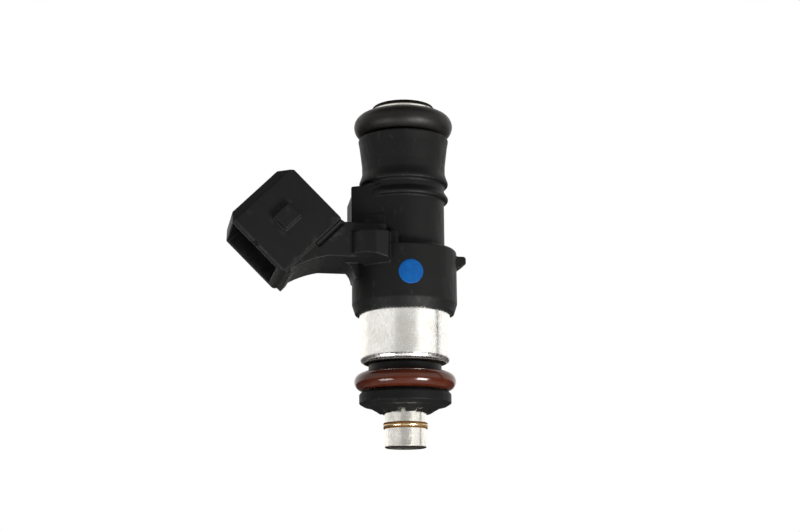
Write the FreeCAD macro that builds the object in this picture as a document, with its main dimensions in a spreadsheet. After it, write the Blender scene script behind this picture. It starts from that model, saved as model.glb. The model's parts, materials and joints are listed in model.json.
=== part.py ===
import FreeCAD, Part
import math
import os
import Sketcher

# Port fuel injector, millimetres. The origin is the centre of the lower
# (manifold) sealing ring, +Z runs along the axis to the fuel inlet and the
# electrical connector reaches out towards -X.

Vector = FreeCAD.Vector
os.makedirs("parts", exist_ok=True)
doc = FreeCAD.newDocument("fuel_injector")

# ---------------------------------------------------------------- dimensions

DIMENSIONS = {
    # inlet end
    "inlet_top": 41.0, "flange_radius": 4.88, "flange_edge": 40.38,
    "flange_under": 40.15, "flange_root": 39.97,
    "sleeve_radius": 3.76, "sleeve_bore": 3.36,
    "upper_ring_level": 38.03, "upper_ring_centre": 5.53, "upper_ring_wire": 1.765,
    # overmoulded body
    "mould_bore": 3.80, "barrel_top": 36.05, "barrel_lip": 6.67, "barrel_neck": 6.10,
    "neck_top": 31.9, "neck_foot": 30.7,
    "rib_radius": 6.54, "rib_a_top": 29.35, "rib_a_foot": 28.9,
    "rib_b_top": 27.8, "rib_b_foot": 26.5, "rib_valley": 5.97,
    "waist_radius": 5.92, "collar_radius": 7.62, "collar_top": 19.05,
    "collar_foot": 9.72, "collar_taper": 11.2, "collar_foot_radius": 7.15,
    "housing_pocket": 6.60, "pocket_top": 17.3,
    # connector shell, measured along its own axis and across it
    "shell_back": -8.5, "shell_mouth": 3.0, "shell_near": 22.95, "shell_far": 34.1,
    "shell_width": 13.0, "shell_wall": 1.3, "shell_cut": 1.6, "shell_chamfer": 1.2,
    "roof_cut": 1.1, "mouth_chamfer": 0.4,
    "socket_floor": -6.0, "rail_near": 22.1, "rail_back": 1.4, "rail_front": 2.6,
    "rail_width": 11.6, "bevel_reach": 0.45,
    "nub_back": -4.4, "nub_front": -1.45, "nub_low": 27.0, "nub_high": 29.5,
    "nub_span": 15.0, "lip_notch_back": 2.6,
    "lip_notch_low": 28.2, "lip_notch_high": 28.9,
    "lip_notch_deep": 2.0,
    # arm between shell and body
    "arm_width": 12.0, "arm_top": 21.85, "arm_foot": 16.8, "arm_curve": 14.0,
    "arm_knee": -11.95, "arm_toe": -17.3, "arm_toe_level": 14.6,
    "web_root": -6.9, "web_foot": 14.4, "web_face": -7.52, "web_knee": -10.0,
    "web_curve": 2.6, "web_width": 5.2,
    "groove_back": -8.35, "groove_front": -3.4, "groove_low": 22.15,
    "groove_high": 22.85, "groove_depth": 0.35,
    # spine, locating lugs and clip hook
    "spine_outer": -8.1, "spine_outer_half": 2.2, "spine_root": -3.7,
    "spine_root_half": 4.6, "spine_foot": 21.0, "spine_top": 28.1,
    "spine_step": 23.65, "spine_step_out": 0.12, "spine_slope": 2.0, "spine_slope_in": 0.75,
    "spine_slope_span": 4.6, "spine_slope_aside": 0.8,
    "lug_foot": 16.1, "lug_edge": 17.3, "lug_reach": 10.9,
    "lug_thickness": 4.3, "key_top": 20.6,
    "hook_reach": 8.9, "hook_top": 18.4, "hook_foot": 16.65, "hook_nose": 17.3,
    "hook_width": 3.2,
    # solenoid
    "housing_radius": 6.55, "housing_inner": 5.75, "housing_foot": 2.64,
    "housing_top": 17.2, "housing_floor": 3.64, "housing_corner": 0.55,
    "washer_foot": 16.2, "washer_radius": 5.70, "washer_notch": 3.95,
    "washer_notch_width": 5.6,
    "bobbin_bore": 3.82, "bobbin_hub": 4.40, "bobbin_rim": 5.65,
    "bobbin_foot": 4.0, "bobbin_top": 15.8, "bobbin_flange": 0.7,
    "winding_inner": 4.44, "winding_outer": 5.50, "winding_gap": 0.05,
    # connector blades
    "blade_width": 2.8, "blade_thick": 0.8, "blade_pitch": 5.0, "blade_tip": -0.4,
    "blade_level": 28.6, "blade_elbow": -7.4, "blade_run": 18.4,
    "blade_end": -4.1, "blade_slack": 0.04, "tail_width": 1.2, "tail_foot": 15.9,
    "tail_offset": 0.7,
    # fuel path
    "shoulder_radius": 4.65, "shoulder_top": 2.60, "shoulder_foot": -1.3,
    "tip_radius": 2.98, "tip_bore": 2.45, "tip_foot": -9.4, "tip_edge": -9.15,
    "bore_step_top": 3.0, "bore_step_foot": 2.2,
    "pole_radius": 3.33, "pole_foot": 12.0, "pole_top": 22.0, "pole_bore": 1.60,
    "tuner_radius": 1.57, "tuner_bore": 0.95, "tuner_foot": 15.8, "tuner_top": 20.5,
    "armature_radius": 3.28, "armature_foot": 7.0, "armature_top": 11.88,
    "armature_ledge": 9.4, "needle_radius": 1.10, "needle_bore": 0.75,
    "needle_foot": -5.75, "port_radius": 0.42, "port_level": -3.6,
    "ball_radius": 1.45, "ball_level": -7.0,
    "seat_radius": 2.43, "seat_top": -6.2, "seat_foot": -9.0, "seat_guide": 1.50,
    "seat_guide_foot": -7.571, "seat_outlet": 0.40, "seat_outlet_top": -8.671,
    "plate_radius": 2.40, "plate_top": -9.03, "plate_foot": -9.25,
    "jet_radius": 0.10, "jet_circle": 0.25,
    # closing spring
    "spring_radius": 1.25, "spring_wire": 0.16, "spring_pitch": 0.86,
    # inlet filter
    "filter_radius": 3.32, "filter_ring_bore": 2.75, "filter_ring_top": 40.6,
    "filter_ring_foot": 39.2, "cage_top": 39.16, "cage_rim_foot": 38.4,
    "cage_outer": 2.90, "cage_inner": 2.50, "cage_foot": 29.0, "cage_floor": 29.5,
    "window_foot": 30.2, "window_top": 37.8, "window_width": 3.4,
    "mesh_outer": 2.46, "mesh_inner": 2.34, "mesh_top": 38.9, "mesh_foot": 29.55,
    # manifold end
    "lower_ring_centre": 5.99, "lower_ring_wire": 1.31,
    "backup_outer": 5.25, "backup_inner": 4.69, "backup_foot": 1.36,
    "backup_top": 2.46,
    "cap_bore": 3.04, "cap_top": -1.4, "cap_shoulder": -1.83, "cap_rim": 6.60,
    "cap_rim_foot": -3.1, "cap_under": 5.15, "cap_under_level": -3.65,
    "cap_hub": 3.75, "cap_foot": -4.5, "cap_notch_width": 0.9,
    "cap_notch_rise": 0.45,
    "band_inner": 3.00, "band_outer": 3.22, "band_top": -5.85, "band_foot": -6.72,
    # paint mark
    "dot_radius": 1.8, "dot_level": 14.68, "dot_turn": -5.0, "dot_inner": 7.63,
    "dot_outer": 7.69,
}

sheet = doc.addObject("Spreadsheet::Sheet", "Dims")
sheet.set("A1", "dimension")
sheet.set("B1", "millimetres")
for row, (alias, value) in enumerate(DIMENSIONS.items(), start=2):
    sheet.set("A%d" % row, alias)
    sheet.set("B%d" % row, str(value))
    sheet.setAlias("B%d" % row, alias)
doc.recompute()


class Size:
    """A length: a signed sum of sheet dimensions and a constant."""

    def __init__(self, value, text):
        self.value = value
        self.text = text

    def __add__(self, other):
        other = size(other)
        return Size(self.value + other.value, "%s + %s" % (self.text, other.text))

    def __sub__(self, other):
        other = size(other)
        return Size(self.value - other.value, "%s - (%s)" % (self.text, other.text))

    def __mul__(self, factor):
        return Size(self.value * factor, "(%s) * %s" % (self.text, factor))

    def __neg__(self):
        return self * -1


def size(item):
    """Turn a sheet alias, a number or a Size into a Size."""
    if isinstance(item, Size):
        return item
    if isinstance(item, str):
        return Size(DIMENSIONS[item], "Dims.%s" % item)
    return Size(float(item), "%s" % float(item))


def bind(target, path, item):
    """Drive one property from the sheet."""
    target.setExpression(path, size(item).text)


# ------------------------------------------------------------------ sketches

def origin_plane(body, role):
    return [f for f in body.Origin.OriginFeatures if f.Role == role][0]


def new_body(label):
    body = doc.addObject("PartDesign::Body", label)
    body.Label = label
    return body


def new_sketch(body, name, role="XZ_Plane", offset=None, turn=0.0):
    """An empty sketch on one of the body's own origin planes."""
    sketch = body.newObject("Sketcher::SketchObject", name)
    sketch.AttachmentSupport = [(origin_plane(body, role), "")]
    sketch.MapMode = "FlatFace"
    sketch.AttachmentOffset = FreeCAD.Placement(
        Vector(0, 0, size(offset).value if offset is not None else 0),
        FreeCAD.Rotation(Vector(0, 0, 1), turn))
    if offset is not None:
        bind(sketch, "AttachmentOffset.Base.z", offset)
    return sketch


def fix_vertex(sketch, geo, end, x, y):
    """Hold one vertex at sheet-driven distances from the sketch origin."""
    for kind, item, axis in (("DistanceX", size(x), -2), ("DistanceY", size(y), -1)):
        if abs(item.value) < 1e-9:
            sketch.addConstraint(Sketcher.Constraint("PointOnObject", geo, end, axis))
            continue
        row = sketch.addConstraint(
            Sketcher.Constraint(kind, -1, 1, geo, end, item.value))
        bind(sketch, "Constraints[%d]" % row, item)


def arc_between(start, end, radius):
    """Circular arc from start to end that bulges to the left of the chord."""
    chord = end - start
    middle = (start + end) * 0.5
    left = Vector(-chord.y, chord.x, 0).normalize()
    rise = math.sqrt(radius ** 2 - (chord.Length / 2) ** 2)
    crown = middle + left * (radius - rise)
    return Part.Arc(start, crown, end)


def draw_outline(sketch, vertices, arcs=None):
    """Closed outline through sheet-driven vertices; arcs maps side -> radius."""
    arcs = arcs or {}
    points = [Vector(size(x).value, size(y).value, 0) for x, y in vertices]
    ends = []
    for side, start in enumerate(points):
        end = points[(side + 1) % len(points)]
        if side in arcs:
            curve = arc_between(start, end, size(arcs[side]).value).toShape()
            geo = sketch.addGeometry(Part.ArcOfCircle(
                curve.Curve, curve.FirstParameter, curve.LastParameter), False)
            first = sketch.getPoint(geo, 1)
            flipped = first.distanceToPoint(start) > first.distanceToPoint(end)
            ends.append((geo, 2, 1) if flipped else (geo, 1, 2))
        else:
            geo = sketch.addGeometry(Part.LineSegment(start, end), False)
            ends.append((geo, 1, 2))
    for side, (geo, start_end, far_end) in enumerate(ends):
        after = ends[(side + 1) % len(ends)]
        sketch.addConstraint(
            Sketcher.Constraint("Coincident", geo, far_end, after[0], after[1]))
        if side in arcs:
            radius = size(arcs[side])
            row = sketch.addConstraint(Sketcher.Constraint("Radius", geo, radius.value))
            bind(sketch, "Constraints[%d]" % row, radius)
    for (x, y), (geo, start_end, far_end) in zip(vertices, ends):
        fix_vertex(sketch, geo, start_end, x, y)


def draw_circle(sketch, x, y, radius):
    """Circle with a sheet-driven centre and radius."""
    x, y, radius = size(x), size(y), size(radius)
    geo = sketch.addGeometry(
        Part.Circle(Vector(x.value, y.value, 0), Vector(0, 0, 1), radius.value), False)
    row = sketch.addConstraint(Sketcher.Constraint("Radius", geo, radius.value))
    bind(sketch, "Constraints[%d]" % row, radius)
    fix_vertex(sketch, geo, 3, x, y)


def box_outline(x0, y0, x1, y1):
    return [(x0, y0), (x1, y0), (x1, y1), (x0, y1)]


# ------------------------------------------------------------------ features

def revolve(body, name, vertices, kind="PartDesign::Revolution"):
    """Turn an (r, z) outline about the body axis, adding or removing."""
    sketch = new_sketch(body, name + "_profile")
    draw_outline(sketch, vertices)
    feature = body.newObject(kind, name)
    feature.Profile = sketch
    feature.ReferenceAxis = (sketch, ["V_Axis"])
    feature.Angle = 360
    sketch.Visibility = False
    doc.recompute()
    return feature


def extrude(body, name, sketch, length, kind="PartDesign::Pad", centred=True):
    """Pad or pocket a sketch, centred on its plane or to one side of it."""
    feature = body.newObject(kind, name)
    feature.Profile = sketch
    feature.Length = size(length).value
    bind(feature, "Length", length)
    if centred:
        feature.SideType = "Symmetric"
    sketch.Visibility = False
    doc.recompute()
    return feature


def side_profile(body, name, vertices, width, kind="PartDesign::Pad", turn=0.0,
                 offset=None, arcs=None):
    """Extrude an outline drawn in the XZ plane across the body's width."""
    sketch = new_sketch(body, name + "_profile", "XZ_Plane", offset, turn)
    draw_outline(sketch, vertices, arcs)
    return extrude(body, name, sketch, width, kind)


def plan_profile(body, name, vertices, level, height, kind="PartDesign::Pad"):
    """Extrude an outline drawn at a given level upwards."""
    sketch = new_sketch(body, name + "_profile", "XY_Plane", level)
    draw_outline(sketch, vertices)
    return extrude(body, name, sketch, height, kind, centred=False)


def polar(body, name, feature, count):
    """Repeat a feature evenly about the body axis."""
    pattern = body.newObject("PartDesign::PolarPattern", name)
    pattern.Originals = [feature]
    pattern.Axis = (origin_plane(body, "Z_Axis"), [""])
    pattern.Angle = 360
    pattern.Occurrences = count
    body.Tip = pattern
    doc.recompute()
    return pattern


def mirrored(body, name, features):
    """Mirror features across the plane of the connector (y = 0)."""
    mirror = body.newObject("PartDesign::Mirrored", name)
    mirror.Originals = features
    mirror.MirrorPlane = (origin_plane(body, "XZ_Plane"), [""])
    body.Tip = mirror
    doc.recompute()
    return mirror


def break_edges(body, name, base, picker, distance, kind="PartDesign::Chamfer"):
    """Chamfer or fillet the edges a picker accepts."""
    chosen = ["Edge%d" % (i + 1) for i, edge in enumerate(base.Shape.Edges)
              if picker(edge)]
    feature = body.newObject(kind, name)
    feature.Base = (base, chosen)
    path = "Size" if kind.endswith("Chamfer") else "Radius"
    setattr(feature, path, size(distance).value)
    bind(feature, path, distance)
    doc.recompute()
    return feature


def turned_part(label, vertices):
    """A sub-part that is one turned ring."""
    body = new_body(label)
    revolve(body, label + "_turned", vertices)
    return body


def ring(inner, outer, foot, top):
    return [(inner, foot), (outer, foot), (outer, top), (inner, top)]


# ------------------------------------------------------------- overmould body

overmold = new_body("overmold")
revolve(overmold, "Barrel", [
    (0, "barrel_top"),
    (size("barrel_lip") - 0.22, "barrel_top"),
    ("barrel_lip", size("barrel_top") - 0.22),
    (size("barrel_lip") - 0.2, size("barrel_top") - 1.3),
    (size("barrel_neck") + 0.02, "neck_top"),
    ("barrel_neck", "neck_foot"),
    (size("barrel_neck") + 0.12, size("neck_foot") - 0.5),
    ("rib_radius", "rib_a_top"),
    ("rib_radius", size("rib_a_foot") + 0.15),
    (size("rib_radius") - 0.1, "rib_a_foot"),
    ("rib_valley", size("rib_a_foot") - 0.2),
    ("rib_valley", "rib_b_top"),
    (size("rib_valley") + 0.16, size("rib_b_top") - 0.22),
    ("rib_radius", size("rib_b_top") - 0.85),
    ("rib_radius", size("rib_b_foot") + 0.2),
    (size("rib_radius") - 0.12, "rib_b_foot"),
    ("waist_radius", size("rib_b_foot") - 0.14),
    ("waist_radius", "collar_top"),
    (size("collar_radius") - 0.28, "collar_top"),
    ("collar_radius", size("collar_top") - 0.28),
    ("collar_radius", "collar_taper"),
    ("collar_foot_radius", "collar_foot"),
    (0, "collar_foot"),
])

# Locating lug for the rail clip, beside the arm, and its mirror image.
plan_profile(overmold, "Lug", [
    (-5.0, -3.6), (-9.65, -4.3), (-8.45, -6.5), (-7.2, -7.75), (-5.6, -8.3),
    (-3.8, -7.95), (-2.9, -5.6)],
    "lug_foot", "lug_thickness")
plan_profile(overmold, "LugKey", [
    (-4.2, -5.0), (-3.9, -6.45), (-2.35, -7.2), (-1.9, -5.0)],
    size("collar_top") - 0.6, size("key_top") - size("collar_top") + 0.6)
mirrored(overmold, "LugPair", [overmold.Group[-1], overmold.Group[-3]])
revolve(overmold, "LugSlope", [
    (size("collar_radius") + 0.01, size("lug_foot") - 0.2),
    (size("lug_reach") + 2.0, size("lug_foot") - 0.2),
    (size("lug_reach") + 2.0, size("lug_edge") + 1.4),
    ("lug_reach", "lug_edge"),
    (size("collar_radius") + 0.01, "lug_foot"),
], "PartDesign::Groove")

# Spine up the back of the barrel: a wedge that narrows outwards, in two steps.
def spine_plan(extra):
    return [("spine_outer", -(size("spine_outer_half") + extra)),
            ("spine_root", -(size("spine_root_half") + extra)),
            ("spine_root", size("spine_root_half") + extra),
            ("spine_outer", size("spine_outer_half") + extra)]


plan_profile(overmold, "Spine", spine_plan(0), "spine_foot",
             size("spine_top") - "spine_foot")
plan_profile(overmold, "SpineFoot", spine_plan("spine_step_out"), "spine_foot",
             size("spine_step") - "spine_foot")
side_profile(overmold, "SpineSlope", [
    (size("spine_outer") - 1.0, size("spine_top") + 1.0),
    (size("spine_outer") - 1.0, size("spine_top") - "spine_slope"),
    ("spine_outer", size("spine_top") - "spine_slope"),
    (size("spine_outer") + "spine_slope_in", "spine_top"),
    (size("spine_outer") + "spine_slope_in", size("spine_top") + 1.0),
], "spine_slope_span", "PartDesign::Pocket", 0.0, -size("spine_slope_aside"))

# Arm, then the connector shell drawn along its own 45 degree axis.
side_profile(overmold, "Arm", [
    ("spine_root", "arm_foot"),
    ("spine_root", "arm_top"),
    (-9.7, "arm_top"),
    (-10.22, 22.24),
    (-14.2, 20.5),
    ("arm_toe", size("arm_toe_level") + 1.3),
    ("arm_toe", "arm_toe_level"),
    ("arm_knee", "arm_foot"),
], "arm_width", arcs={6: "arm_curve"})

side_profile(overmold, "ArmWeb", [
    ("web_root", size("arm_foot") + 0.1),
    ("web_knee", size("arm_foot") + 0.1),
    ("web_knee", "arm_foot"),
    ("web_face", "web_foot"),
    ("web_root", "web_foot"),
], "web_width", arcs={2: "web_curve"})
SHELL_TURN = 225.0
side_profile(overmold, "Shell", [
    ("shell_back", -(size("shell_far") - "shell_cut")),
    (size("shell_back") + "shell_cut", -size("shell_far")),
    (size("shell_mouth") - "roof_cut", -size("shell_far")),
    ("shell_mouth", -(size("shell_far") - "roof_cut")),
    ("shell_mouth", -size("shell_near")),
    ("shell_back", -size("shell_near")),
], "shell_width", turn=SHELL_TURN)


def along_shell_roof(edge):
    """Long outer edges of the shell on the side facing away from the arm."""
    if len(edge.Vertexes) != 2:
        return False
    for vertex in edge.Vertexes:
        across = (vertex.Z - vertex.X) / math.sqrt(2)
        on_roof = abs(across - DIMENSIONS["shell_far"]) < 0.01
        on_side = abs(abs(vertex.Y) - DIMENSIONS["shell_width"] / 2) < 0.01
        if not (on_roof and on_side):
            return False
    return edge.Length > 2.0 and abs(edge.Vertexes[0].Y - edge.Vertexes[1].Y) < 0.01


def round_the_mouth(edge):
    """Outer edges of the shell's two broad sides at its mouth."""
    if len(edge.Vertexes) != 2 or edge.Length < 4.0:
        return False
    for vertex in edge.Vertexes:
        along = (-vertex.X - vertex.Z) / math.sqrt(2)
        at_mouth = abs(along - DIMENSIONS["shell_mouth"]) < 0.01
        on_side = abs(abs(vertex.Y) - DIMENSIONS["shell_width"] / 2) < 0.01
        if not (at_mouth and on_side):
            return False
    return True


shell_roof = break_edges(overmold, "ShellRoof", overmold.Tip, along_shell_roof,
                         "shell_chamfer")
break_edges(overmold, "MouthEdge", shell_roof, round_the_mouth, "mouth_chamfer")
side_profile(overmold, "Rail", box_outline(
    "rail_back", -size("shell_near") - 1.0, "rail_front", -size("rail_near")),
    "rail_width", turn=SHELL_TURN)
side_profile(overmold, "Nub", box_outline(
    "nub_back", -size("nub_high"), "nub_front", -size("nub_low")),
    "nub_span", turn=SHELL_TURN)
side_profile(overmold, "Socket", box_outline(
    "socket_floor", -(size("shell_far") - "shell_wall"),
    size("shell_mouth") + 1.0, -(size("shell_near") + "shell_wall")),
    size("shell_width") - size("shell_wall") * 2, "PartDesign::Pocket",
    turn=SHELL_TURN)
side_profile(overmold, "LipNotch", box_outline(
    "lip_notch_back", -size("lip_notch_high"),
    size("shell_mouth") + 1.0, -size("lip_notch_low")),
    "lip_notch_deep", "PartDesign::Pocket", SHELL_TURN,
    size("shell_width") * 0.5)
side_profile(overmold, "Hook", [
    (size("collar_radius") - 1.2, "hook_foot"),
    (size("hook_reach") - 0.9, "hook_foot"),
    ("hook_reach", "hook_nose"),
    ("hook_reach", size("hook_top") - 0.25),
    (size("hook_reach") - 0.25, "hook_top"),
    (size("collar_radius") - 1.2, "hook_top"),
], "hook_width")


def blade_outline(grow):
    """Blade drawn in the shell's frame: socket leg, elbow, leg to the body."""
    half = size("blade_thick") * 0.5 + grow
    level = -size("blade_level")
    return [
        (size("blade_tip"), level - half),
        (size("blade_tip"), level + half),
        (size("blade_elbow") + half, level + half),
        (size("blade_elbow") + half, size(-18.9) + grow),
        (size("blade_elbow") - half, size(-18.9) + grow),
        (size("blade_elbow") - half, level - half),
    ]


def run_outline(grow):
    """Level leg of a blade, from the arm to the coil."""
    half = size("blade_thick") * 0.5 + grow
    return box_outline(-9.0, size("blade_run") - half,
                       size("blade_end") + grow, size("blade_run") + half)


def tail_outline(grow):
    """Tail that drops from a blade to the winding."""
    return box_outline(size("blade_end") - "blade_thick" - grow,
                       size("tail_foot") - grow,
                       size("blade_end") + grow, size("blade_run") + 0.2)


for side in (1, -1):
    side_profile(overmold, "ArmGroove%s" % ("A" if side > 0 else "B"), box_outline(
        "groove_back", -size("groove_high"), "groove_front", -size("groove_low")),
        size("groove_depth") * 2, "PartDesign::Pocket", SHELL_TURN,
        size("arm_width") * (0.5 * side))

# Room for the coil housing and for the long tube through the middle.
revolve(overmold, "HousingPocket", [
    (0, size("collar_foot") - 1.0), ("housing_pocket", size("collar_foot") - 1.0),
    ("housing_pocket", "pocket_top"), (0, "pocket_top"),
], "PartDesign::Groove")
revolve(overmold, "TubeBore", [
    (0, size("pocket_top") - 1.0), ("mould_bore", size("pocket_top") - 1.0),
    ("mould_bore", size("barrel_top") + 1.0), (0, size("barrel_top") + 1.0),
], "PartDesign::Groove")

for side in (1, -1):
    slack = size("blade_slack")
    lane = size("blade_pitch") * (0.5 * side)
    tail_lane = lane - size("tail_offset") * side
    tag = "A" if side > 0 else "B"
    wide = size("blade_width") + slack * 2
    narrow = size("tail_width") + slack * 2
    side_profile(overmold, "BladeSlot" + tag, blade_outline(slack), wide,
                 "PartDesign::Pocket", SHELL_TURN, lane)
    side_profile(overmold, "RunSlot" + tag, run_outline(slack), wide,
                 "PartDesign::Pocket", 0.0, lane)
    side_profile(overmold, "TailSlot" + tag, tail_outline(slack), narrow,
                 "PartDesign::Pocket", 0.0, tail_lane)

# ------------------------------------------------------------ connector blades

terminals = []
for side, label in ((1, "terminal_front"), (-1, "terminal_rear")):
    blade = new_body(label)
    side_profile(blade, label + "_blade", blade_outline(0), "blade_width",
                 turn=SHELL_TURN)
    side_profile(blade, label + "_run", run_outline(0), "blade_width")
    side_profile(blade, label + "_tail", tail_outline(0), "tail_width",
                 offset=-size("tail_offset") * side)
    blade.Placement = FreeCAD.Placement(
        Vector(0, -side * DIMENSIONS["blade_pitch"] / 2, 0), FreeCAD.Rotation())
    bind(blade, "Placement.Base.y", size("blade_pitch") * (-0.5 * side))
    terminals.append(blade)

# -------------------------------------------------------------------- solenoid

coil_housing = turned_part("coil_housing", [
    ("mould_bore", "housing_foot"),
    (size("housing_radius") - "housing_corner", "housing_foot"),
    (size("housing_radius") - 0.12, size("housing_foot") + 0.2),
    ("housing_radius", size("housing_foot") + "housing_corner"),
    ("housing_radius", "housing_top"),
    ("housing_inner", "housing_top"),
    ("housing_inner", "housing_floor"),
    ("mould_bore", "housing_floor"),
])

flux_washer = turned_part("flux_washer", ring(
    "mould_bore", "washer_radius", "washer_foot", "housing_top"))
notch_sketch = new_sketch(flux_washer, "TailNotch_profile", "XY_Plane", "washer_foot")
draw_outline(notch_sketch, box_outline(
    -7.0, size("washer_notch_width") * -0.5,
    -size("washer_notch"), size("washer_notch_width") * 0.5))
extrude(flux_washer, "TailNotch", notch_sketch, 4.0, "PartDesign::Pocket")

coil_bobbin = turned_part("coil_bobbin", [
    ("bobbin_bore", "bobbin_foot"),
    ("bobbin_rim", "bobbin_foot"),
    ("bobbin_rim", size("bobbin_foot") + "bobbin_flange"),
    ("bobbin_hub", size("bobbin_foot") + "bobbin_flange"),
    ("bobbin_hub", size("bobbin_top") - "bobbin_flange"),
    ("bobbin_rim", size("bobbin_top") - "bobbin_flange"),
    ("bobbin_rim", "bobbin_top"),
    ("bobbin_bore", "bobbin_top"),
])
coil_winding = turned_part("coil_winding", ring(
    "winding_inner", "winding_outer",
    size("bobbin_foot") + "bobbin_flange" + "winding_gap",
    size("bobbin_top") - "bobbin_flange" - "winding_gap"))

# ----------------------------------------------------------------- valve group

valve_sleeve = turned_part("valve_sleeve", [
    ("sleeve_bore", "inlet_top"),
    (size("flange_radius") - 0.36, "inlet_top"),
    ("flange_radius", "flange_edge"),
    ("flange_radius", "flange_under"),
    (size("flange_radius") - 0.3, "flange_root"),
    ("sleeve_radius", "flange_root"),
    ("sleeve_radius", "shoulder_top"),
    ("shoulder_radius", "shoulder_top"),
    ("shoulder_radius", "shoulder_foot"),
    ("tip_radius", "shoulder_foot"),
    ("tip_radius", "tip_edge"),
    (size("tip_radius") - 0.2, "tip_foot"),
    ("tip_bore", "tip_foot"),
    ("tip_bore", "bore_step_foot"),
    ("sleeve_bore", "bore_step_top"),
])
inner_pole = turned_part("inner_pole", ring(
    "pole_bore", "pole_radius", "pole_foot", "pole_top"))
adjusting_sleeve = turned_part("adjusting_sleeve", ring(
    "tuner_bore", "tuner_radius", "tuner_foot", "tuner_top"))

armature = turned_part("armature", [
    ("needle_radius", "armature_foot"),
    (size("armature_radius") - 0.4, "armature_foot"),
    ("armature_radius", size("armature_foot") + 0.4),
    ("armature_radius", "armature_top"),
    ("pole_bore", "armature_top"),
    ("pole_bore", "armature_ledge"),
    ("needle_radius", "armature_ledge"),
])
needle_tube = turned_part("needle_tube", ring(
    "needle_bore", "needle_radius", "needle_foot", "armature_ledge"))
for plane in ("XZ_Plane", "YZ_Plane"):
    port = new_sketch(needle_tube, "Port_" + plane, plane)
    draw_circle(port, 0, "port_level", "port_radius")
    extrude(needle_tube, "CrossPort_" + plane, port, 4.0, "PartDesign::Pocket")

valve_ball = doc.addObject("Part::Sphere", "valve_ball")
bind(valve_ball, "Radius", "ball_radius")
bind(valve_ball, "Placement.Base.z", "ball_level")

valve_seat = turned_part("valve_seat", [
    ("seat_guide", "seat_top"),
    ("seat_guide", "seat_guide_foot"),
    ("seat_outlet", "seat_outlet_top"),
    ("seat_outlet", "seat_foot"),
    ("seat_radius", "seat_foot"),
    ("seat_radius", "seat_top"),
])
flow_slot = new_sketch(valve_seat, "FlowSlot_profile", "XY_Plane", "seat_guide_foot")
draw_circle(flow_slot, size("seat_guide") + 0.15, 0, 0.35)
extrude(valve_seat, "FlowSlot", flow_slot, 3.0, "PartDesign::Pocket", centred=False)
valve_seat.Group[-1].Reversed = True
polar(valve_seat, "FlowSlots", valve_seat.Group[-1], 5)

orifice_plate = new_body("orifice_plate")
disc = new_sketch(orifice_plate, "Disc_profile", "XY_Plane", "plate_foot")
draw_circle(disc, 0, 0, "plate_radius")
extrude(orifice_plate, "Disc", disc, size("plate_top") - "plate_foot", centred=False)
jet = new_sketch(orifice_plate, "Jet_profile", "XY_Plane", "plate_foot")
draw_circle(jet, "jet_circle", 0, "jet_radius")
extrude(orifice_plate, "Jet", jet, 1.0, "PartDesign::Pocket")
polar(orifice_plate, "Jets", orifice_plate.Group[-1], 4)

closing_spring = new_body("closing_spring")
wire = new_sketch(closing_spring, "Wire_profile")
draw_circle(wire, "spring_radius",
            size("armature_ledge") + "spring_wire" + 0.01, "spring_wire")
helix = closing_spring.newObject("PartDesign::AdditiveHelix", "Coils")
helix.Profile = wire
helix.ReferenceAxis = (wire, ["V_Axis"])
helix.Mode = 0
spring_rise = size("tuner_foot") - "armature_ledge" - size("spring_wire") * 2 - 0.02
bind(helix, "Pitch", "spring_pitch")
bind(helix, "Height", spring_rise)
helix.Pitch = DIMENSIONS["spring_pitch"]
helix.Height = spring_rise.value
wire.Visibility = False

# ---------------------------------------------------------------- inlet filter

filter_ring = turned_part("filter_ring", ring(
    "filter_ring_bore", "filter_radius", "filter_ring_foot", "filter_ring_top"))
filter_cage = turned_part("filter_cage", [
    ("cage_inner", "cage_top"),
    ("filter_radius", "cage_top"),
    ("filter_radius", "cage_rim_foot"),
    ("cage_outer", "cage_rim_foot"),
    ("cage_outer", "cage_foot"),
    (0, "cage_foot"),
    (0, "cage_floor"),
    ("cage_inner", "cage_floor"),
])
window = new_sketch(filter_cage, "Window_profile", "YZ_Plane")
draw_outline(window, box_outline(
    size("window_width") * -0.5, "window_foot",
    size("window_width") * 0.5, "window_top"))
extrude(filter_cage, "Window", window, 5.0, "PartDesign::Pocket", centred=False)
polar(filter_cage, "Windows", filter_cage.Group[-1], 3)
filter_mesh = turned_part("filter_mesh", ring(
    "mesh_inner", "mesh_outer", "mesh_foot", "mesh_top"))

# ------------------------------------------------------- seals and lower trim

def sealing_ring(label, centre, wire, level):
    """O-ring lying level around the axis."""
    torus = doc.addObject("Part::Torus", label)
    torus.Label = label
    bind(torus, "Radius1", centre)
    bind(torus, "Radius2", wire)
    bind(torus, "Placement.Base.z", level)
    return torus


upper_seal_ring = sealing_ring("upper_seal_ring", "upper_ring_centre",
                               "upper_ring_wire", "upper_ring_level")
lower_seal_ring = sealing_ring("lower_seal_ring", "lower_ring_centre",
                               "lower_ring_wire", 0.0)
backup_ring = turned_part("backup_ring", ring(
    "backup_inner", "backup_outer", "backup_foot", "backup_top"))
retaining_cap = turned_part("retaining_cap", [
    ("cap_bore", "cap_top"),
    (size("cap_rim") - 0.4, "cap_top"),
    ("cap_rim", "cap_shoulder"),
    ("cap_rim", "cap_rim_foot"),
    (size("cap_rim") - 0.64, size("cap_rim_foot") - 0.4),
    ("cap_under", "cap_under_level"),
    (size("cap_hub") + 0.35, size("cap_foot") + 0.25),
    ("cap_hub", "cap_foot"),
    ("cap_bore", "cap_foot"),
])
notch = new_sketch(retaining_cap, "HubNotch_profile", "XY_Plane", "cap_foot")
draw_outline(notch, box_outline(
    size("cap_bore") - 0.5, size("cap_notch_width") * -0.5,
    size("cap_hub") + 0.8, size("cap_notch_width") * 0.5))
extrude(retaining_cap, "HubNotch", notch, size("cap_notch_rise") * 2,
        "PartDesign::Pocket")
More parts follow.
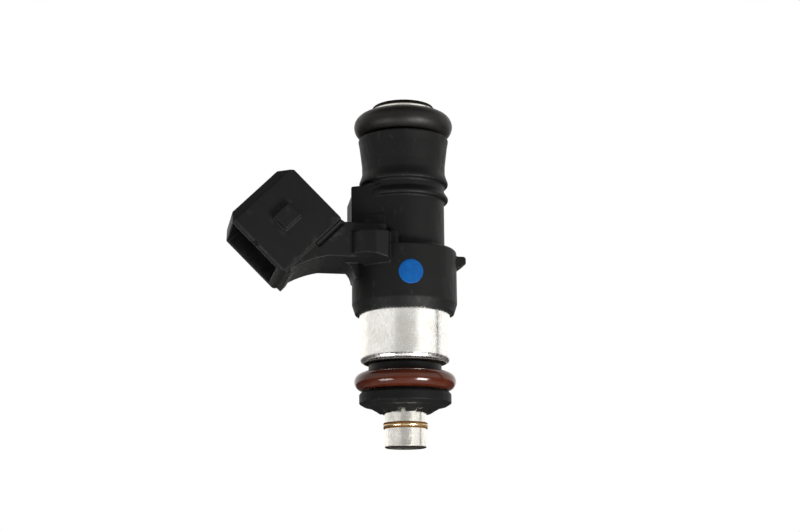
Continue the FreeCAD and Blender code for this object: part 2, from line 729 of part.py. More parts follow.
polar(retaining_cap, "HubNotches", retaining_cap.Group[-1], 10)
tip_band = turned_part("tip_band", ring(
    "band_inner", "band_outer", "band_foot", "band_top"))

dot_shell = []
for label, radius in (("DotOuter", "dot_outer"), ("DotInner", "dot_inner")):
    tube = doc.addObject("Part::Cylinder", label)
    bind(tube, "Radius", radius)
    bind(tube, "Height", size("dot_radius") * 4)
    bind(tube, "Placement.Base.z", size("dot_level") - size("dot_radius") * 2)
    dot_shell.append(tube)
dot_wall = doc.addObject("Part::Cut", "DotWall")
dot_wall.Base, dot_wall.Tool = dot_shell
dot_stamp = doc.addObject("Part::Cylinder", "DotStamp")
bind(dot_stamp, "Radius", "dot_radius")
dot_stamp.Height = 12
dot_stamp.Placement = FreeCAD.Placement(
    Vector(0, 0, DIMENSIONS["dot_level"]),
    FreeCAD.Rotation(Vector(0, 0, 1), DIMENSIONS["dot_turn"])
    * FreeCAD.Rotation(Vector(1, 0, 0), 90))
bind(dot_stamp, "Placement.Base.z", "dot_level")
paint_dot = doc.addObject("Part::Common", "paint_dot")
paint_dot.Base = dot_wall
paint_dot.Tool = dot_stamp

# ---------------------------------------------------------------------- export

NODES = [
    overmold, valve_sleeve, coil_housing, flux_washer, coil_bobbin, coil_winding,
    *terminals, inner_pole, adjusting_sleeve, closing_spring, armature,
    needle_tube, valve_ball, valve_seat, orifice_plate, filter_ring, filter_cage,
    filter_mesh, upper_seal_ring, lower_seal_ring, backup_ring, retaining_cap,
    tip_band, paint_dot,
]
doc.recompute()
for item in doc.Objects:
    bad = [state for state in item.State if state in ("Invalid", "Error")]
    if bad:
        raise RuntimeError("%s is %s" % (item.Label, bad))
for node in NODES:
    shape = node.Shape
    if shape.isNull() or not shape.isValid() or not shape.Solids:
        raise RuntimeError("%s has no valid solid" % node.Label)
    shape.exportStep("parts/%s.step" % node.Label)
    print("%-18s solids %d  volume %9.3f" % (
        node.Label, len(shape.Solids), shape.Volume))
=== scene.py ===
import json
import math

import bmesh
import bpy
from mathutils import Matrix, Vector, noise


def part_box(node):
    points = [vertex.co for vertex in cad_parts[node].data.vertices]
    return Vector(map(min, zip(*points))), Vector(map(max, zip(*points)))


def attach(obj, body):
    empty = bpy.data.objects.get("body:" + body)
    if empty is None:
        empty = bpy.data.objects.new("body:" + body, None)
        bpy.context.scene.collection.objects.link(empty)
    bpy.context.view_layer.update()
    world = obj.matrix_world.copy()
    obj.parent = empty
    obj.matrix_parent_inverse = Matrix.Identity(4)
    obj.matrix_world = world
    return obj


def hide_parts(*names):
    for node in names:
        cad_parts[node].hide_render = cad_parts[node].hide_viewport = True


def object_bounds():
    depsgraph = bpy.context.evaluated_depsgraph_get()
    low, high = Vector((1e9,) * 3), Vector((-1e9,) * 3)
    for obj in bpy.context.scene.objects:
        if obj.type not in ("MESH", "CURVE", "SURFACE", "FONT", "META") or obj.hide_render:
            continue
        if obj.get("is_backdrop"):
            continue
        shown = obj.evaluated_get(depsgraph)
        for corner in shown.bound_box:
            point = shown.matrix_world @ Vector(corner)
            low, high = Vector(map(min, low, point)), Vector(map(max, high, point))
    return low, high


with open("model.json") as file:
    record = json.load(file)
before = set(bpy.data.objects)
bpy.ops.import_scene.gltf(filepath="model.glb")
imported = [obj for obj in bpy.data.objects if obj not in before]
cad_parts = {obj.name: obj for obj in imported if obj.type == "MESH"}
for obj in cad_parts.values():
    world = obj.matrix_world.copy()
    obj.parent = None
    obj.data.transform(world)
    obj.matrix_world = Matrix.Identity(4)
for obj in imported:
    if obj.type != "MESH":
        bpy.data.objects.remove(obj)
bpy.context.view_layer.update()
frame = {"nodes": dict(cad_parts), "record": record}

NODES = frame["nodes"]
MM = 0.001
# Black of the darkened zones on the steel: painted shade at the housing's underside and
# the flange's top, and the darkened nozzle tip.
SHADE_AND_TIP_BLACK = (0.012, 0.010, 0.007)
BROWN_OXIDE = (0.085, 0.038, 0.008)
DULL_METAL = (0.42, 0.41, 0.34)
scene = bpy.context.scene


# ---------------------------------------------------------------- node helpers

class Shader:
    """A material's node tree with short calls for the nodes used here."""

    def __init__(self, name):
        self.material = bpy.data.materials.new(name)
        self.material.use_nodes = True
        self.tree = self.material.node_tree
        self.bsdf = next(n for n in self.tree.nodes if n.type == "BSDF_PRINCIPLED")
        self.object_space = self.add("ShaderNodeTexCoord").outputs["Object"]

    def add(self, kind, **settings):
        node = self.tree.nodes.new(kind)
        for key, value in settings.items():
            setattr(node, key, value)
        return node

    def link(self, source, target):
        self.tree.links.new(source, target)

    def stretched(self, scale):
        """Object coordinates scaled differently along each axis."""
        node = self.add("ShaderNodeMapping")
        node.inputs["Scale"].default_value = scale
        self.link(self.object_space, node.inputs["Vector"])
        return node.outputs["Vector"]

    def noise(self, size_mm, detail=3.0, vector=None, roughness=0.55):
        """Noise whose features are about size_mm across."""
        node = self.add("ShaderNodeTexNoise")
        node.inputs["Scale"].default_value = 1000.0 / size_mm
        node.inputs["Detail"].default_value = detail
        node.inputs["Roughness"].default_value = roughness
        self.link(vector or self.object_space, node.inputs["Vector"])
        return node.outputs["Fac"]

    def spread(self, value, low, high, start=0.3, stop=0.7):
        """Map a value from start..stop to low..high."""
        node = self.add("ShaderNodeMapRange")
        node.inputs["From Min"].default_value = start
        node.inputs["From Max"].default_value = stop
        node.inputs["To Min"].default_value = low
        node.inputs["To Max"].default_value = high
        self.link(value, node.inputs["Value"])
        return node.outputs["Result"]

    def blend(self, factor, first, second):
        """Mix two colours, given as tuples or sockets."""
        node = self.add("ShaderNodeMix", data_type="RGBA")
        self.link(factor, node.inputs["Factor"])
        for slot, colour in (("A", first), ("B", second)):
            socket = [s for s in node.inputs if s.name == slot and s.type == "RGBA"][0]
            if isinstance(colour, tuple):
                socket.default_value = (*colour, 1.0)
            else:
                self.link(colour, socket)
        return [s for s in node.outputs if s.type == "RGBA"][0]

    def maths(self, operation, first, second):
        node = self.add("ShaderNodeMath", operation=operation)
        for socket, value in zip(node.inputs, (first, second)):
            if isinstance(value, (int, float)):
                socket.default_value = value
            else:
                self.link(value, socket)
        return node.outputs["Value"]

    def bump(self, layers):
        """Chain of bumps from (height, depth in mm, strength) layers."""
        normal = None
        for height, depth_mm, strength in layers:
            node = self.add("ShaderNodeBump")
            node.inputs["Distance"].default_value = depth_mm * MM
            node.inputs["Strength"].default_value = strength
            self.link(height, node.inputs["Height"])
            if normal:
                self.link(normal, node.inputs["Normal"])
            normal = node.outputs["Normal"]
        self.link(normal, self.bsdf.inputs["Normal"])

    def edges(self, start=0.52, stop=0.6):
        """0 on flats, 1 on convex corners."""
        geometry = self.add("ShaderNodeNewGeometry")
        return self.spread(geometry.outputs["Pointiness"], 0.0, 1.0, start, stop)


def plastic(name, dark, light, worn, rough=(0.50, 0.64), specular=0.2, grain_mm=0.12):
    """Glass-filled moulded plastic: fine grain, fibre streaks, rubbed corners."""
    s = Shader(name)
    cloud = s.noise(3.2, 4.0)
    grain = s.noise(grain_mm, 2.0)
    streak = s.noise(0.5, 2.0, s.stretched((1.0, 1.0, 0.22)))
    base = s.blend(s.spread(cloud, 0.0, 1.0), dark, light)
    flecks = s.spread(grain, 0.0, 0.5, 0.62, 0.8)
    base = s.blend(flecks, base, light)
    rubbed = s.maths("MULTIPLY", s.edges(), s.spread(s.noise(0.9, 3.0), 0.15, 1.0))
    base = s.blend(rubbed, base, worn)
    s.link(base, s.bsdf.inputs["Base Color"])
    s.link(s.spread(streak, rough[0], rough[1]), s.bsdf.inputs["Roughness"])
    s.bsdf.inputs["Specular IOR Level"].default_value = specular
    s.bump([(grain, 0.010, 0.5), (s.noise(1.6, 2.0), 0.02, 0.35)])
    return s.material


def metal(name, dark, light, rough=(0.16, 0.3), line_mm=0.05, depth=0.004, tint=None,
          shade_and_oxide_zones=(), shade_and_oxide_colour=SHADE_AND_TIP_BLACK, scuff=0.0):
    """Turned or drawn metal: fine rings round the axis, cloudy plating.

    Each darkened zone is a pair of heights in mm: bright metal at the first
    fades into a dark skin at the second. At the housing's underside and the
    flange's top that skin is painted shade; at the nozzle's tip it darkens
    the metal; on the brass band it is a real oxide skin. Scuffs dull the
    metal along the axis.
    """
    s = Shader(name)
    rings = s.noise(line_mm, 2.0, s.stretched((0.02, 0.02, 1.0)))
    cloud = s.noise(2.4, 4.0)
    specks = s.spread(s.noise(0.35, 3.0), 0.0, 1.0, 0.66, 0.78)
    base = s.blend(s.spread(cloud, 0.0, 1.0), dark, light)
    base = s.blend(specks, base, tint or dark)
    wear = s.maths("ADD", s.spread(rings, rough[0], rough[1]),
                   s.spread(cloud, 0.0, 0.06))
    if scuff:
        rubbed = s.noise(0.28, 4.0, s.stretched((1.0, 1.0, 0.45)))
        base = s.blend(s.spread(rubbed, 0.0, scuff, 0.42, 0.66), base, DULL_METAL)
        wear = s.maths("ADD", wear, s.spread(rubbed, 0.0, 0.16, 0.35, 0.65))
    s.bsdf.inputs["Metallic"].default_value = 1.0
    s.bsdf.inputs["Specular IOR Level"].default_value = 0.05
    bright_metal = None
    # Darkened zones: painted shade at the housing's underside and the flange's top, a
    # darkened nozzle tip, and real oxide on the brass band.
    for bright_level, dark_level in shade_and_oxide_zones:
        height = s.add("ShaderNodeSeparateXYZ")
        s.link(s.object_space, height.inputs["Vector"])
        ragged = s.maths("ADD", height.outputs["Z"],
                         s.spread(s.noise(0.5, 3.0), -0.01 * MM, 0.01 * MM))
        base = s.blend(s.spread(ragged, 0.0, 1.0, bright_level * MM, dark_level * MM), base, shade_and_oxide_colour)
        bare = s.spread(ragged, 1.0, 0.0, bright_level * MM, dark_level * MM)
        bright_metal = s.maths("MULTIPLY", bare, bright_metal) if bright_metal else bare
    if bright_metal:
        s.link(bright_metal, s.bsdf.inputs["Metallic"])
        wear = s.maths("ADD", wear, s.spread(bright_metal, 0.5, 0.0, 0.0, 1.0))
    s.link(base, s.bsdf.inputs["Base Color"])
    s.link(wear, s.bsdf.inputs["Roughness"])
    s.bump([(rings, depth, 0.6), (s.noise(1.2, 2.0), 0.006, 0.4)])
    return s.material


def rubber(name, dark, light, rough=(0.24, 0.36), specular=0.5):
    """Moulded seal: smooth skin, faint bloom and fine dust."""
    s = Shader(name)
    cloud = s.noise(2.0, 4.0)
    dust = s.spread(s.noise(0.16, 2.0), 0.0, 0.6, 0.7, 0.82)
    base = s.blend(s.spread(cloud, 0.0, 1.0), dark, light)
    base = s.blend(dust, base, tuple(min(1.0, c * 2.2 + 0.004) for c in light))
    s.link(base, s.bsdf.inputs["Base Color"])
    s.link(s.spread(s.noise(0.9, 3.0), rough[0], rough[1]), s.bsdf.inputs["Roughness"])
    s.bsdf.inputs["Specular IOR Level"].default_value = specular
    s.bump([(s.noise(0.09, 2.0), 0.003, 0.5), (s.noise(0.8, 2.0), 0.008, 0.4)])
    return s.material


def weave(name, thread, gap):
    """Woven strainer cloth: crossed threads, dark between them."""
    s = Shader(name)
    threads = []
    for scale in ((1.0, 1.0, 0.0), (0.0, 0.0, 1.0)):
        wave = s.add("ShaderNodeTexWave", wave_type="BANDS", bands_direction="DIAGONAL")
        wave.inputs["Scale"].default_value = 1400.0
        wave.inputs["Distortion"].default_value = 0.6
        s.link(s.stretched(scale), wave.inputs["Vector"])
        threads.append(wave.outputs["Fac"])
    cloth = s.maths("MAXIMUM", threads[0], threads[1])
    s.link(s.blend(s.spread(cloth, 0.0, 1.0), gap, thread), s.bsdf.inputs["Base Color"])
    s.bsdf.inputs["Roughness"].default_value = 0.65
    s.bump([(cloth, 0.03, 0.8)])
    return s.material


def winding(name, dark, light):
    """Enamelled wire laid side by side."""
    s = Shader(name)
    wave = s.add("ShaderNodeTexWave", wave_type="BANDS", bands_direction="Z")
    wave.inputs["Scale"].default_value = 1600.0
    s.link(s.object_space, wave.inputs["Vector"])
    s.link(s.blend(wave.outputs["Fac"], dark, light), s.bsdf.inputs["Base Color"])
    s.bsdf.inputs["Metallic"].default_value = 0.8
    s.link(s.spread(s.noise(0.7), 0.22, 0.4), s.bsdf.inputs["Roughness"])
    s.bump([(wave.outputs["Fac"], 0.05, 0.8)])
    return s.material


def paint(name, dark, light):
    """A dab of thick marking paint."""
    s = Shader(name)
    cloud = s.noise(0.9, 4.0)
    s.link(s.blend(s.spread(cloud, 0.0, 1.0), dark, light), s.bsdf.inputs["Base Color"])
    s.link(s.spread(s.noise(0.5, 3.0), 0.5, 0.65), s.bsdf.inputs["Roughness"])
    s.bsdf.inputs["Specular IOR Level"].default_value = 0.12
    s.bump([(s.noise(0.45, 3.0), 0.02, 0.5)])
    return s.material


MATERIALS = {
    "body_plastic": plastic("body_plastic", (0.0010, 0.0012, 0.0011),
                            (0.0020, 0.0023, 0.0022), (0.010, 0.0105, 0.0102),
                            specular=0.185),
    "cap_plastic": plastic("cap_plastic", (0.0010, 0.0012, 0.0012),
                           (0.0018, 0.0021, 0.0020), (0.008, 0.0085, 0.0082),
                           specular=0.13),
    "ring_plastic": plastic("ring_plastic", (0.0008, 0.0008, 0.0009),
                            (0.0016, 0.0016, 0.0018), (0.005, 0.005, 0.005),
                            (0.4, 0.5), 0.15),
    "bobbin_plastic": plastic("bobbin_plastic", (0.05, 0.045, 0.04),
                              (0.08, 0.075, 0.07), (0.14, 0.13, 0.12)),
    "filter_plastic": plastic("filter_plastic", (0.5, 0.46, 0.36),
                              (0.6, 0.56, 0.46), (0.75, 0.7, 0.6)),
    # Sleeve: the dark band at the flange's top is painted shade; the tip's bottom is
    # darkened as well.
    "sleeve_steel": metal("sleeve_steel", (0.70, 0.69, 0.62), (0.93, 0.92, 0.88),
                          (0.08, 0.16), 0.10, 0.003,
                          shade_and_oxide_zones=((40.30, 40.42), (-9.16, -9.28)), scuff=0.26),
    # Housing: its underside is painted dark, a painted shade.
    "housing_steel": metal("housing_steel", (0.82, 0.81, 0.76), (0.95, 0.95, 0.93),
                           (0.10, 0.19), 0.14, 0.003,
                           shade_and_oxide_zones=((2.70, 2.665),), scuff=0.22),
    "washer_steel": metal("washer_steel", (0.45, 0.45, 0.46), (0.6, 0.6, 0.6)),
    "terminal_tin": metal("terminal_tin", (0.6, 0.6, 0.58), (0.78, 0.77, 0.74),
                          (0.24, 0.4)),
    "core_steel": metal("core_steel", (0.45, 0.45, 0.46), (0.6, 0.6, 0.6)),
    "spring_steel": metal("spring_steel", (0.4, 0.4, 0.4), (0.55, 0.55, 0.55)),
    "needle_steel": metal("needle_steel", (0.5, 0.5, 0.5), (0.66, 0.66, 0.66)),
    "ball_steel": metal("ball_steel", (0.7, 0.7, 0.7), (0.8, 0.8, 0.8), (0.04, 0.1)),
    "seat_steel": metal("seat_steel", (0.5, 0.5, 0.51), (0.64, 0.64, 0.65)),
    "plate_steel": metal("plate_steel", (0.02, 0.018, 0.015), (0.05, 0.045, 0.04)),
    "filter_brass": metal("filter_brass", (0.62, 0.44, 0.2), (0.8, 0.6, 0.3)),
    "band_brass": metal("band_brass", (0.60, 0.42, 0.22), (0.74, 0.56, 0.34),
                        (0.14, 0.24), 0.08, 0.003,
                        shade_and_oxide_zones=((-6.17, -6.07), (-6.40, -6.50)),
                        shade_and_oxide_colour=BROWN_OXIDE),
    "seal_black": rubber("seal_black", (0.0048, 0.0044, 0.0037),
                         (0.0070, 0.0064, 0.0055), (0.42, 0.52), 0.22),
    "seal_brown": rubber("seal_brown", (0.036, 0.0066, 0.0026),
                         (0.047, 0.0100, 0.0044), (0.12, 0.18), 0.34),
    "copper_wire": winding("copper_wire", (0.16, 0.045, 0.015), (0.5, 0.2, 0.08)),
    "filter_weave": weave("filter_weave", (0.55, 0.52, 0.42), (0.05, 0.045, 0.035)),
    "dot_paint": paint("dot_paint", (0.0002, 0.044, 0.170), (0.0008, 0.058, 0.21)),
}


# ---------------------------------------------------------------- mesh helpers

def slot_of(node):
    for entry in frame["record"]["subparts"]:
        if entry["node"] == node:
            return entry["material_slot"]
    raise KeyError(node)


def finish_piece(obj, node, body="injector"):
    """Dress a new piece in its node's finish and let it stand for that node."""
    slot = slot_of(node)
    obj.data.materials.clear()
    obj.data.materials.append(MATERIALS[slot])
    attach(obj, body)
    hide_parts(node)
    return obj


def new_object(name, mesh):
    obj = bpy.data.objects.new(name, mesh)
    scene.collection.objects.link(obj)
    return obj


def apply_modifiers(obj):
    """Bake the modifiers of a new piece into its mesh."""
    depsgraph = bpy.context.evaluated_depsgraph_get()
    baked = bpy.data.meshes.new_from_object(obj.evaluated_get(depsgraph))
    obj.modifiers.clear()
    obj.data = baked
    return obj


def moulded(node, name, voxel_mm, rounds, keep):
    """Copy of a CAD node with every corner softened, as a moulding has.

    Corners soften over the given rounds; keep is the share of faces left.
    """
    obj = new_object(name, NODES[node].data.copy())
    obj.data.materials.clear()
    remesh = obj.modifiers.new("skin", "REMESH")
    remesh.mode = "VOXEL"
    remesh.voxel_size = voxel_mm * MM
    soften = obj.modifiers.new("soften", "SMOOTH")
    soften.factor = 0.5
    soften.iterations = rounds
    thin = obj.modifiers.new("thin", "DECIMATE")
    thin.ratio = keep
    apply_modifiers(obj)
    obj.data.shade_smooth()
    return finish_piece(obj, node)


def rounded(profile, steps=5):
    """Replace each (r, z, radius) corner of a closed outline by a small arc."""
    points = [Vector((r, z)) for r, z, _ in profile]
    outline = []
    for i, (r, z, radius) in enumerate(profile):
        here, back, ahead = points[i], points[i - 1], points[(i + 1) % len(points)]
        to_back, to_ahead = (back - here), (ahead - here)
        if radius <= 0.0:
            outline.append(here.copy())
            continue
        angle = to_back.angle(to_ahead)
        reach = min(radius / math.tan(angle / 2),
                    0.48 * to_back.length, 0.48 * to_ahead.length)
        start = here + to_back.normalized() * reach
        stop = here + to_ahead.normalized() * reach
        for k in range(steps + 1):
            t = k / steps
            outline.append(start * (1 - t) ** 2 + here * (2 * t * (1 - t))
                           + stop * t ** 2)
    return outline


def turned(node, name, profile, sides=160, wobble=0.0, body="injector"):
    """Ring turned about the axis from a closed (r, z, corner radius) outline."""
    outline = rounded(profile)
    bm = bmesh.new()
    rings = []
    for i in range(sides):
        angle = 2 * math.pi * i / sides
        ring = []
        for r, z in outline:
            stray = wobble * noise.noise(Vector((math.cos(angle) * 2.0,
                                                 math.sin(angle) * 2.0, z)))
            ring.append(bm.verts.new(((r + stray) * math.cos(angle) * MM,
                                      (r + stray) * math.sin(angle) * MM, z * MM)))
        rings.append(ring)
    count = len(outline)
    for i in range(sides):
        here, ahead = rings[i], rings[(i + 1) % sides]
        for k in range(count):
            following = (k + 1) % count
            bm.faces.new((here[k], ahead[k], ahead[following], here[following]))
    bmesh.ops.recalc_face_normals(bm, faces=bm.faces)
    mesh = bpy.data.meshes.new(name)
    bm.to_mesh(mesh)
    bm.free()
    mesh.shade_smooth()
    return finish_piece(new_object(name, mesh), node, body)


def reach(node):
    """Outer radius, bottom and top of a CAD node, in millimetres."""
    low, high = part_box(node)
    return high.y / MM, low.z / MM, high.z / MM


# -------------------------------------------------------------------- the body

moulded("overmold", "body_moulding", 0.11, 3, 0.5)
moulded("retaining_cap", "cap_moulding", 0.075, 3, 0.6)

# -------------------------------------------------------------- turned pieces

# Radii and heights of the long tube, then the housing's bore, wall and floor,
# all in millimetres.
TUBE, TUBE_BORE = 3.76, 3.36
TIP, TIP_BORE = 2.98, 2.45
SHOULDER, SHOULDER_TOP, SHOULDER_FOOT = 4.65, 2.60, -1.30
FLANGE_EDGE, FLANGE_ROOT, FLANGE_BEVEL = 40.38, 39.97, 0.36
STEP_TOP, STEP_FOOT = 3.0, 2.2
CAN_BORE, CAN_WALL, CAN_FLOOR = 3.80, 0.8, 1.0

outer, low, high = reach("coil_housing")
turned("coil_housing", "housing_can", [
    (CAN_BORE, low, 0.05), (outer, low, 0.90), (outer, high, 0.15),
    (outer - CAN_WALL, high, 0.15), (outer - CAN_WALL, low + CAN_FLOOR, 0.4),
    (CAN_BORE, low + CAN_FLOOR, 0.05)], wobble=0.006)

outer, low, high = reach("valve_sleeve")
turned("valve_sleeve", "sleeve_tube", [
    (TUBE_BORE, high, 0.12), (outer - FLANGE_BEVEL, high, 0.08),
    (outer, FLANGE_EDGE, 0.10), (outer, FLANGE_ROOT, 0.28),
    (TUBE, FLANGE_ROOT, 0.05), (TUBE, SHOULDER_TOP, 0.05),
    (SHOULDER, SHOULDER_TOP, 0.1), (SHOULDER, SHOULDER_FOOT, 0.1),
    (TIP, SHOULDER_FOOT, 0.05), (TIP, low, 0.30), (TIP_BORE, low, 0.12),
    (TIP_BORE, STEP_FOOT, 0.2), (TUBE_BORE, STEP_TOP, 0.2)])


def seal(node, name, wire_sides=40, sides=192, ridge_height=0.003, ridge_reach=0.10):
    """O-ring with the faint parting ridge that its mould leaves.

    The ridge's height is a share of the wire's radius, and it fades within
    about six degrees (ridge_reach, in radians) of the ring's equator.
    """
    low_corner, high_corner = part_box(node)
    wire = (high_corner.z - low_corner.z) / 2 / MM
    centre = high_corner.y / MM - wire
    level = (high_corner.z + low_corner.z) / 2 / MM
    outline = []
    for k in range(wire_sides):
        angle = 2 * math.pi * k / wire_sides
        ridge = 1.0 - ridge_height * (
            1.0 - math.exp(-(math.sin(angle) / ridge_reach) ** 2))
        outline.append((centre + wire * ridge * math.cos(angle),
                        level + wire * 0.992 * math.sin(angle), 0.0))
    return turned(node, name, outline, sides, wobble=0.012)


seal("upper_seal_ring", "rail_seal")
seal("lower_seal_ring", "manifold_seal")

BACKUP_BORE = 4.69
outer, low, high = reach("backup_ring")
turned("backup_ring", "support_ring", [
    (BACKUP_BORE, low, 0.06), (outer, low, 0.12), (outer, high, 0.12),
    (BACKUP_BORE, high, 0.06)])

# The band's section: a round bead with a narrow lip on either side.
BAND_BORE = 3.0
outer, low, high = reach("tip_band")
middle = (low + high) / 2
turned("tip_band", "nozzle_band", [
    (BAND_BORE, low, 0.02), (outer - 0.12, low, 0.04), (outer - 0.03, low + 0.14, 0.05),
    (outer - 0.16, low + 0.24, 0.03), (outer - 0.04, middle - 0.12, 0.06),
    (outer, middle, 0.1), (outer - 0.04, middle + 0.12, 0.06),
    (outer - 0.16, high - 0.24, 0.03), (outer - 0.03, high - 0.14, 0.05),
    (outer - 0.12, high, 0.04), (BAND_BORE, high, 0.02)])

STRAINER_BORE = 2.75
outer, low, high = reach("filter_ring")
turned("filter_ring", "strainer_ring", [
    (STRAINER_BORE, low, 0.1), (outer, low, 0.1), (outer, high, 0.18),
    (STRAINER_BORE, high, 0.25)])


# ------------------------------------------------------------------- paint dot

# The dab's heading round the axis in degrees, and its lengths in millimetres.
DAB_HEADING = -94.0
DAB_ARC_RADIUS = 7.63
DAB_SKIN = 7.632
DAB_DOME = 0.052
DAB_LIFT = 0.004
DAB_FRAY = 0.02  # share of the dab's radius


def paint_dab(rings=14, spokes=72):
    """A domed dab of paint that follows the collar and frays at its rim."""
    low_corner, high_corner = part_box("paint_dot")
    level = (low_corner.z + high_corner.z) / 2 / MM
    radius = (high_corner.z - low_corner.z) / 2 / MM
    turn = math.radians(DAB_HEADING)
    bm = bmesh.new()
    layers = []
    for lift in (0.0, 1.0):
        layer = [[bm.verts.new((0, 0, 0))]]
        for k in range(1, rings + 1):
            layer.append([bm.verts.new((0, 0, 0)) for _ in range(spokes)])
        for k, ring in enumerate(layer):
            for j, vert in enumerate(ring):
                angle = 2 * math.pi * j / spokes
                stray = 1.0 - DAB_FRAY + DAB_FRAY * noise.noise(
                    Vector((math.cos(angle) * 2.2, math.sin(angle) * 2.2, 0.3)))
                out = radius * k / rings * stray
                dome = DAB_DOME * (1.0 - (k / rings) ** 6) * lift
                around = turn + out * math.cos(angle) / DAB_ARC_RADIUS
                r = DAB_SKIN + dome + DAB_LIFT * lift
                vert.co = (r * math.cos(around) * MM, r * math.sin(around) * MM,
                           (level + out * math.sin(angle)) * MM)
        layers.append(layer)
    for layer in layers:
        for j in range(spokes):
            bm.faces.new((layer[0][0], layer[1][j], layer[1][(j + 1) % spokes]))
        for k in range(1, rings):
            for j in range(spokes):
                ahead = (j + 1) % spokes
                bm.faces.new((layer[k][j], layer[k + 1][j],
                              layer[k + 1][ahead], layer[k][ahead]))
    for j in range(spokes):
        ahead = (j + 1) % spokes
        bm.faces.new((layers[0][-1][j], layers[1][-1][j],
                      layers[1][-1][ahead], layers[0][-1][ahead]))
    bmesh.ops.recalc_face_normals(bm, faces=bm.faces)
    mesh = bpy.data.meshes.new("colour_mark")
    bm.to_mesh(mesh)
    bm.free()
    mesh.shade_smooth()
    return finish_piece(new_object("colour_mark", mesh), "paint_dot")


paint_dab()
for name in ("terminal_front", "terminal_rear"):
    moulded(name, name.replace("terminal", "blade"), 0.08, 2, 0.4)

# ------------------------------------------- finishes on the remaining CAD nodes

for name, node in NODES.items():
    node.data.materials.clear()
    node.data.materials.append(MATERIALS[slot_of(name)])

# ----------------------------------------------------------------------- stage

# Metres; in what the floor throws back on the object, painted shade fades in between two
# distances from the axis.
FLOOR_LEVEL = -0.15
FLOOR_RADIUS = 3.0
BOUNCE_SHADE_FADE = (0.08, 0.28)


def floor():
    """Pale floor to the camera; what it throws back on the object is painted dark with
    distance from the axis, a painted shade on the object's undersides.
    """
    bm = bmesh.new()
    bmesh.ops.create_circle(bm, cap_ends=True, radius=FLOOR_RADIUS, segments=96)
    mesh = bpy.data.meshes.new("studio_floor")
    bm.to_mesh(mesh)
    bm.free()
    obj = new_object("studio_floor", mesh)
    obj.location.z = FLOOR_LEVEL
    s = Shader("studio_floor")
    pale = s.blend(s.spread(s.noise(60.0), 0.0, 1.0), (0.70, 0.70, 0.70),
                   (0.74, 0.74, 0.74))
    away = s.add("ShaderNodeVectorMath", operation="LENGTH")
    s.link(s.object_space, away.inputs[0])
    # Painted shade: the floor turns dark away from the axis for every ray but the
    # camera's.
    painted_shade_bounce = s.blend(s.spread(away.outputs["Value"], 0.0, 1.0, *BOUNCE_SHADE_FADE), pale,
                     (0.02, 0.02, 0.02))
    path = s.add("ShaderNodeLightPath")
    s.link(s.blend(path.outputs["Is Camera Ray"], painted_shade_bounce, pale),
           s.bsdf.inputs["Base Color"])
    s.bsdf.inputs["Roughness"].default_value = 0.7
    obj.data.materials.append(s.material)
    obj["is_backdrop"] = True


floor()

# Camera: from the nozzle's side, a little below level and left of square on.
YAW, PITCH, ROLL = math.radians(-11.0), math.radians(-12.3), math.radians(-0.44)
TARGET = Vector((-0.601, 0.117, 17.045)) * MM
DISTANCE = 0.205
camera = bpy.data.objects.new("camera", bpy.data.cameras.new("camera"))
scene.collection.objects.link(camera)
camera.data.sensor_width = 36.0
camera.data.lens = 63.29
camera.data.clip_start = 0.005
camera.data.clip_end = 10.0
turn = (Matrix.Rotation(YAW, 4, "Z") @ Matrix.Rotation(math.pi / 2 - PITCH, 4, "X")
        @ Matrix.Rotation(ROLL, 4, "Z"))
camera.matrix_world = (Matrix.Translation(TARGET) @ turn
                       @ Matrix.Translation((0, 0, DISTANCE)))
scene.camera = camera
scene.view_settings.view_transform = "Standard"
scene.view_settings.look = "None"


def softbox(name, azimuth, elevation, distance, width, height, radiance, colour):
    """Area light at an angle from the camera's heading, aimed at the object."""
    a, e = YAW + math.radians(azimuth), math.radians(elevation)
    back = Vector((math.sin(a) * math.cos(e), -math.cos(a) * math.cos(e),
                   math.sin(e)))
    light = bpy.data.objects.new(name, bpy.data.lights.new(name, "AREA"))
    light.data.shape = "RECTANGLE"
    light.data.size = width
    light.data.size_y = height
    light.data.energy = radiance * math.pi * width * height
    light.data.color = colour
    light.location = TARGET + back * distance
    light.rotation_mode = "QUATERNION"
    light.rotation_quaternion = (-back).to_track_quat("-Z", "Y")
    scene.collection.objects.link(light)


# Low lights on the nozzle's side: the right one is the stronger.
softbox("key_right", 42, -34, 0.24, 0.09, 0.07, 48.0, (1.0, 0.985, 0.97))
softbox("fill_left", -48, -36, 0.24, 0.11, 0.06, 16.0, (1.0, 1.0, 1.0))
softbox("low_front", 0, -36, 0.19, 0.10, 0.04, 0.8, (1.0, 1.0, 1.0))


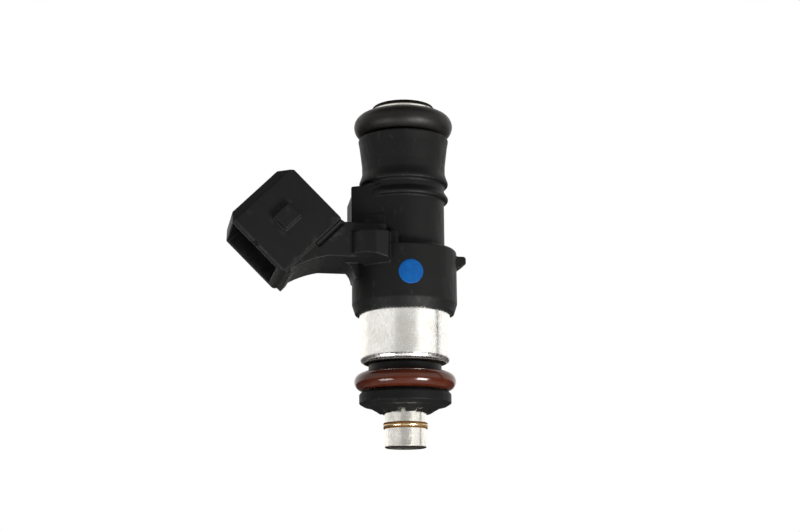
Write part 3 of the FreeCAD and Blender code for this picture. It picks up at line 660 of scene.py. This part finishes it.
def studio_world():
    """White surround behind, lit sides, a dim front and a dark ceiling.

    The camera itself sees plain white.
    """
    world = bpy.data.worlds.new("studio")
    scene.world = world
    world.use_nodes = True
    tree = world.node_tree
    tree.nodes.clear()

    def add(kind, **settings):
        node = tree.nodes.new(kind)
        for key, value in settings.items():
            setattr(node, key, value)
        return node

    def along(direction):
        node = add("ShaderNodeVectorMath", operation="DOT_PRODUCT")
        node.inputs[1].default_value = direction
        tree.links.new(coords.outputs["Generated"], node.inputs[0])
        return node.outputs["Value"]

    def ramp(value, start, stop, low, high):
        node = add("ShaderNodeMapRange", interpolation_type="SMOOTHSTEP")
        node.inputs["From Min"].default_value = start
        node.inputs["From Max"].default_value = stop
        node.inputs["To Min"].default_value = low
        node.inputs["To Max"].default_value = high
        tree.links.new(value, node.inputs["Value"])
        return node.outputs["Result"]

    def join(operation, first, second):
        node = add("ShaderNodeMath", operation=operation)
        tree.links.new(first, node.inputs[0])
        tree.links.new(second, node.inputs[1])
        return node.outputs["Value"]

    coords = add("ShaderNodeTexCoord")
    toward = along((math.sin(YAW), -math.cos(YAW), 0.0))
    heading = YAW + math.radians(2.5)
    front = along((math.sin(heading), -math.cos(heading), 0.0))
    right = along((math.cos(YAW), math.sin(YAW), 0.0))
    up = along((0.0, 0.0, 1.0))

    dim_front = ramp(front, 0.82, 0.91, 1.25, 0.64)
    gap = join("MAXIMUM", ramp(toward, -0.09, -0.05, 1.0, 0.0),
               ramp(toward, 0.05, 0.09, 0.0, 1.0))
    gap = join("MAXIMUM", gap, ramp(right, 0.2, 0.3, 1.0, 0.0))
    ceiling = ramp(up, 0.55, 0.72, 1.0, 0.05)
    behind = ramp(toward, -0.35, -0.20, 1.0, 0.0)
    ceiling = join("MAXIMUM", ceiling, behind)
    shy_left = join("MAXIMUM", ramp(right, -0.62, -0.30, 0.78, 1.0), behind)
    level = join("MULTIPLY", join("MULTIPLY", dim_front, gap),
                 join("MULTIPLY", ceiling, shy_left))
    lit = add("ShaderNodeBackground")
    tree.links.new(level, lit.inputs["Strength"])
    lit.inputs["Color"].default_value = (1.0, 0.985, 0.97, 1.0)
    seen = add("ShaderNodeBackground")
    seen.inputs["Color"].default_value = (1.0, 1.0, 1.0, 1.0)
    path = add("ShaderNodeLightPath")
    mix = add("ShaderNodeMixShader")
    out = add("ShaderNodeOutputWorld")
    tree.links.new(path.outputs["Is Camera Ray"], mix.inputs["Fac"])
    tree.links.new(lit.outputs["Background"], mix.inputs[1])
    tree.links.new(seen.outputs["Background"], mix.inputs[2])
    tree.links.new(mix.outputs["Shader"], out.inputs["Surface"])


studio_world()

low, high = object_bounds()
